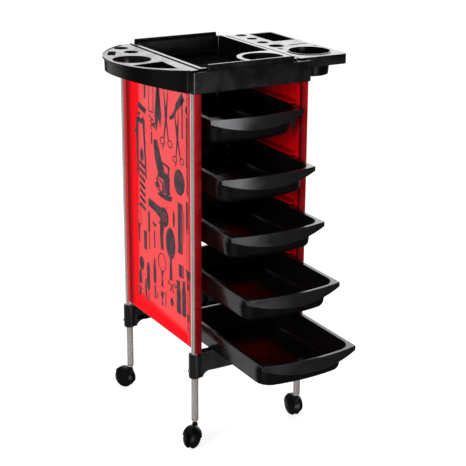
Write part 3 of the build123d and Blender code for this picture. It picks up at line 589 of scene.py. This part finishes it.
def barber_chair():
    """A barber chair from the side: headrest, back, seat, arm, leg rest, links, column and base."""
    return [
        (soft_box(-38, 56, 21, 17, 6), []),
        (strip([(-36, 50), (-28, 24), (-12, -4)], [17, 22, 25]), []),
        (strip([(-12, 19), (16, 16), (28, 12)], [5, 6, 9]), []),
        (strip([(24, 12), (20, -8)], [5, 6]), []),
        (strip([(-26, -8), (4, -10), (26, -16)], [18, 20, 17]), []),
        (strip([(12, -14), (14, -34), (20, -50)], [22, 18, 15]), []),
        (strip([(-22, -8), (-34, -26), (-20, -42)], [5, 5, 4]), []),
        (strip([(-24, -22), (-6, -30), (-2, -50)], [5, 5, 9]), []),
        (strip([(-30, -44), (0, -58), (40, -50)], [5, 9, 5]), []),
        (oval(-34, -38, 9, 7), []),
        (oval(4, -57, 34, 6), []),
    ]


def dryer():
    """A hair dryer, nozzle towards the rear."""
    grille = [oval(cu, cv, 1.6, 1.9, steps=8) for cu, cv in oval(27, -2, 7, 9, steps=6)]
    return [
        (strip([(-54, 14), (-22, 9), (8, 3)], [19, 20, 27]), []),
        (oval(24, -2, 21, 23), grille),
        (strip([(14, -14), (10, -48), (12, -82)], [14, 11, 9]), []),
        (strip([(-4, -20), (6, -24)], [4, 4]), []),
    ]


def paddle(ru, rv, handle):
    """A paddle brush with a long handle."""
    return [(oval(0, 0, ru, rv), []), (strip([(0, -rv + 2), (0, -rv - handle)], [6.5, 9.0]), [])]


def hand_mirror(radius, handle):
    """A round mirror drawn as an outline, with a turned handle."""
    regions = [ring(0, 0, radius, radius * 1.12, 2.6)]
    foot = -radius * 1.12
    regions.append((strip([(0, foot), (0, foot - handle * 0.45), (0, foot - handle)], [8, 3.2, 9]), []))
    return regions


def bottle(width, height, neck=0.25):
    """A bottle with a neck and a cap."""
    body = soft_box(0, -height * neck / 2, width, height * (1 - neck), 4)
    shoulder = height * (0.5 - neck)
    cap = strip([(0, shoulder - 1), (0, height / 2)], [width * 0.5, width * 0.4])
    return [(body, []), (cap, [])]


def spray(width, height):
    """A spray bottle with its trigger head."""
    regions = bottle(width, height, 0.2)
    top = height / 2
    regions.append((strip([(-width * 0.55, top + 2), (width * 0.35, top + 3)], [6, 9]), []))
    regions.append((strip([(-width * 0.3, top), (-width * 0.5, top - 14)], [3, 2.4]), []))
    return regions


def round_brush(width, height, handle):
    """A round styling brush: bristle barrel and handle."""
    regions = [(soft_box(0, 0, width * 0.7, height, 4), [])]
    rows = int(height / 6)
    for k in range(rows):
        v = -height / 2 + (k + 0.5) * height / rows
        regions.append((strip([(-width / 2, v), (width / 2, v)], [2.2, 2.2]), []))
    if handle:
        regions.append((strip([(0, -height / 2), (0, -height / 2 - handle)], [5, 7]), []))
    return regions


def shaving_brush(width, height):
    """A shaving brush, bristles up."""
    bristles = strip([(0, height / 2), (0, height * 0.05)], [width, width * 0.6])
    grip = [(0, height * 0.08), (0, -height * 0.15), (0, -height / 2)]
    return [(bristles, []), (strip(grip, [width * 0.45, width * 0.3, width * 0.6]), [])]


def clip(length):
    """A long hair clip: two arms that meet at a spring."""
    return [
        (strip([(-4, -length / 2), (-7, 0), (-3, length / 2)], [4, 7, 5]), []),
        (strip([(6, -length / 2), (9, 0), (3, length / 2)], [2.5, 3.5, 3]), []),
        (oval(0, length / 2 + 2, 6, 7), [oval(0, length / 2 + 2, 2.5, 3)]),
    ]


def tongs(length):
    """Curling tongs, jaws up: two slim arms from a notched hinge."""
    return [
        (strip([(-18, -length / 2), (-21, length * 0.2), (-16, length * 0.4)], [4, 7, 9]), []),
        (strip([(22, -length / 2), (14, length * 0.2), (12, length * 0.4)], [4, 6.5, 8]), []),
        (strip([(-18, length * 0.4), (0, length * 0.36), (14, length * 0.42)], [9, 12, 9]), []),
        (strip([(-14, length * 0.44), (-6, length * 0.5)], [7, 5]), []),
        (oval(-26, length * 0.18, 5, 5), []),
        (oval(18, length * 0.06, 4.5, 4.5), []),
    ]


def twist(length, width, turns):
    """A spiral curler drawn as slanting bars."""
    regions = []
    step = length / turns
    for k in range(turns):
        v = -length / 2 + k * step
        bar = strip([(-width / 2, v + step * 0.72), (width / 2, v + step * 0.1)], [step * 0.5, step * 0.5])
        regions.append((bar, []))
    return regions


def bow(width):
    """A hair bow: two loops and two tails."""
    loops = []
    tails = []
    for half in (-width / 2, width / 2):
        opening = strip([(half * 0.35, 2.4), (half * 0.8, 5.6)], [1.5, 5.5])
        loops.append((strip([(0, 0), (half, 7)], [2, 12]), [opening]))
        tails.append((strip([(0, 0), (half * 0.5, -14)], [2.4, 4.5]), []))
    return loops + tails


def bar_tool(points, width):
    """A plain bar as a tool."""
    return [(strip(points, [width] * len(points)), [])]


def oval_tool(ru, rv):
    """A plain oval as a tool."""
    return [(oval(0, 0, ru, rv), [])]


def artwork():
    """Where each tool is printed: (tool, y from the posts' middle in mm, height in mm, turn in degrees)."""
    return [
        (rod(52, 8), 60, 776, 0),
        (outline_comb(25, 62), 30, 756, 0),
        (bar_tool([(-20, 5), (20, -5)], 13), 76, 726, 0),
        (bar_tool([(-14, 2), (12, -6)], 3), 29, 715, 0),
        (bow(20), 24, 699, 90),
        (rod(28, 6), 28, 668, 0),
        (spike(112, 13), 1, 742, -4),
        (spike(96, 11), -11, 748, 5),
        (scissors(128, 9), -43, 726, 0),
        (razor(86), -92, 760, -46),
        (rod(88, 6), -118, 741, 0),
        (scissors(118, 9, 8), -96, 694, 4),
        (comb(15, 108, 26, 0.5), -144, 695, 0),
        (oval_tool(8, 9), -140, 764, 0),
        (rod(60, 5), -146, 775, 0),
        (comb(11, 66, 16), -146, 612, 0),
        (tongs(150), 80, 640, 0),
        (oval_tool(9, 15), 79, 617, 0),
        (twist(116, 28, 7), 78, 546, 0),
        (barber_chair(), -30, 604, 0),
        (oval_tool(25, 29), -103, 598, 0),
        (dryer(), -6, 501, 0),
        (outline_comb(22, 50, 44), 98, 471, 0),
        (rod(52, 10), 47, 466, 0),
        (rod(40, 4), 46, 420, 0),
        (bar_tool([(-9, 2), (9, -2)], 7), 20, 468, 0),
        (round_brush(18, 46, 0), 67, 416, 0),
        (rod(42, 6), 20, 432, 0),
        (paddle(23, 37, 50), -60, 446, 0),
        (oval_tool(5, 20), -76, 507, 0),
        (comb(24, 116, 24, 0.6), -107, 494, 0),
        (rod(74, 2.5), -123, 500, 0),
        (round_brush(20, 62, 10), -142, 534, 0),
        (rod(76, 3), -141, 458, 0),
        (hand_mirror(20, 36), -17, 388, 0),
        (oval_tool(12, 17), 88, 353, 0),
        (bottle(15, 36), 96, 318, 0),
        (bow(16), 98, 285, 0),
        (bottle(16, 66, 0.12), 54, 332, 0),
        (bottle(14, 60, 0.3), 21, 355, 0),
        (comb(24, 30, 8, 0.5), -110, 396, 0),
        (spray(20, 72), -97, 328, 0),
        (bottle(19, 84, 0.22), -122, 335, 0),
        (shaving_brush(20, 44), -146, 388, 0),
        (rod(60, 4), -146, 336, 0),
        (rod(34, 8), 20, 304, 0),
        (rod(18, 5), 8, 300, 0),
        (shaving_brush(11, 34), -16, 300, 0),
        (rod(36, 4), -33, 303, 0),
        (bow(34), -64, 346, 0),
        (oval_tool(8, 11), -64, 308, 0),
        (shaving_brush(12, 40), -146, 288, 0),
        (clip(44), 62, 290, 8),
    ]


# ---------------------------------------------------------------- printing the artwork on the panels
class DishedFace:
    """The dished face under the film: a flat floor inside four slopes, read from the film's corners."""

    def __init__(self, film, side):
        corners = [v.co for v in nodes[film].data.vertices]
        self.side = side
        deep = min(abs(c.x) for c in corners)
        shallow = max(abs(c.x) for c in corners)
        floor = [c for c in corners if abs(c.x) < deep + 0.05 * MM]
        self.floor_x = deep
        self.rise = shallow - deep
        self.inner = (min(c.y for c in floor), max(c.y for c in floor),
                      min(c.z for c in floor), max(c.z for c in floor))
        self.outer = (min(c.y for c in corners), max(c.y for c in corners),
                      min(c.z for c in corners), max(c.z for c in corners))

    def x(self, y, z, lift):
        """The X of a point at y and z that stands lift above the face."""
        y0, y1, z0, z1 = self.inner
        a0, a1, b0, b1 = self.outer
        along = max((y0 - y) / (y0 - a0), (y - y1) / (a1 - y1))
        upright = max((z0 - z) / (z0 - b0), (z - z1) / (b1 - z1))
        slope = max(along, upright, 0.0)
        return self.side * (self.floor_x + slope * self.rise + lift)


FILM_T = 0.3 * MM         # the film's own thickness
INK_LIFT = 0.06 * MM      # the print's underside lies this much over the film's outer surface
INK_T = 0.08 * MM         # the print's thickness
INK_STEP = 0.012 * MM     # strokes of one tool that cross lie this much over each other
SMALLEST_AREA = 1e-10     # square metres; thinner slivers of an outline are left out


def ink_mesh(region, y_mid, z_mid, turn, face, lift):
    """One region of a tool as a thin printed layer that follows the dished face."""
    bm = bmesh.new()
    spin = Matrix.Rotation(radians(turn), 2)
    outline, holes = region
    loops = []
    for points in [outline] + holes:
        turned = [spin @ Vector(p) for p in points]
        loops.append([Vector((0.0, y_mid - p.x * MM, z_mid + p.y * MM)) for p in turned])
    verts = [bm.verts.new(v) for points in loops for v in points]
    for triangle in tessellate_polygon(loops):
        corners = [verts[i] for i in triangle]
        area = (corners[1].co - corners[0].co).cross(corners[2].co - corners[0].co).length
        if area > SMALLEST_AREA:
            bm.faces.new(corners)
    y0, y1, z0, z1 = face.inner
    across = Vector((0, 1, 0))
    upwards = Vector((0, 0, 1))
    for point, normal in ((across * y0, across), (across * y1, across),
                          (upwards * z0, upwards), (upwards * z1, upwards)):
        everything = bm.verts[:] + bm.edges[:] + bm.faces[:]
        bmesh.ops.bisect_plane(bm, geom=everything, plane_co=point, plane_no=normal)
    for v in bm.verts:
        v.co.x = face.x(v.co.y, v.co.z, lift)
    bmesh.ops.recalc_face_normals(bm, faces=bm.faces)
    top = bm.faces[:]
    outward = Vector((face.side, 0, 0))
    flipped = [f for f in top if f.normal.dot(outward) < 0]
    bmesh.ops.reverse_faces(bm, faces=flipped)
    loose = [v for v in bm.verts if not v.link_faces]
    bmesh.ops.delete(bm, geom=loose, context="VERTS")
    grown = bmesh.ops.extrude_face_region(bm, geom=bm.faces[:])
    for item in grown["geom"]:
        if isinstance(item, bmesh.types.BMVert):
            item.co.x += face.side * INK_T
    return bm


def print_artwork(film, side, name):
    """All the tools printed on one panel."""
    face = DishedFace(film, side)
    mesh = bpy.data.meshes.new(name)
    whole = bmesh.new()
    for regions, y_mm, z_mm, turn in artwork():
        for k, region in enumerate(regions):
            lift = FILM_T + INK_LIFT + k * INK_STEP
            part = ink_mesh(region, MID_Y + y_mm * MM, z_mm * MM, turn, face, lift)
            part.to_mesh(mesh)
            whole.from_mesh(mesh)
            part.free()
    whole.to_mesh(mesh)
    whole.free()
    piece = bpy.data.objects.new(name, mesh)
    scene.collection.objects.link(piece)
    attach(piece, "frame")
    return piece


# ---------------------------------------------------------------- making
make_camera()
make_world()
make_lights()
make_floor()
dress_nodes()
ink_material = ink()
for film_name, side, print_name in (("left_printed_film", -1, "left_artwork"),
                                    ("right_printed_film", 1, "right_artwork")):
    art = print_artwork(film_name, side, print_name)
    art.data.materials.append(ink_material)
scene.view_settings.view_transform = "Standard"
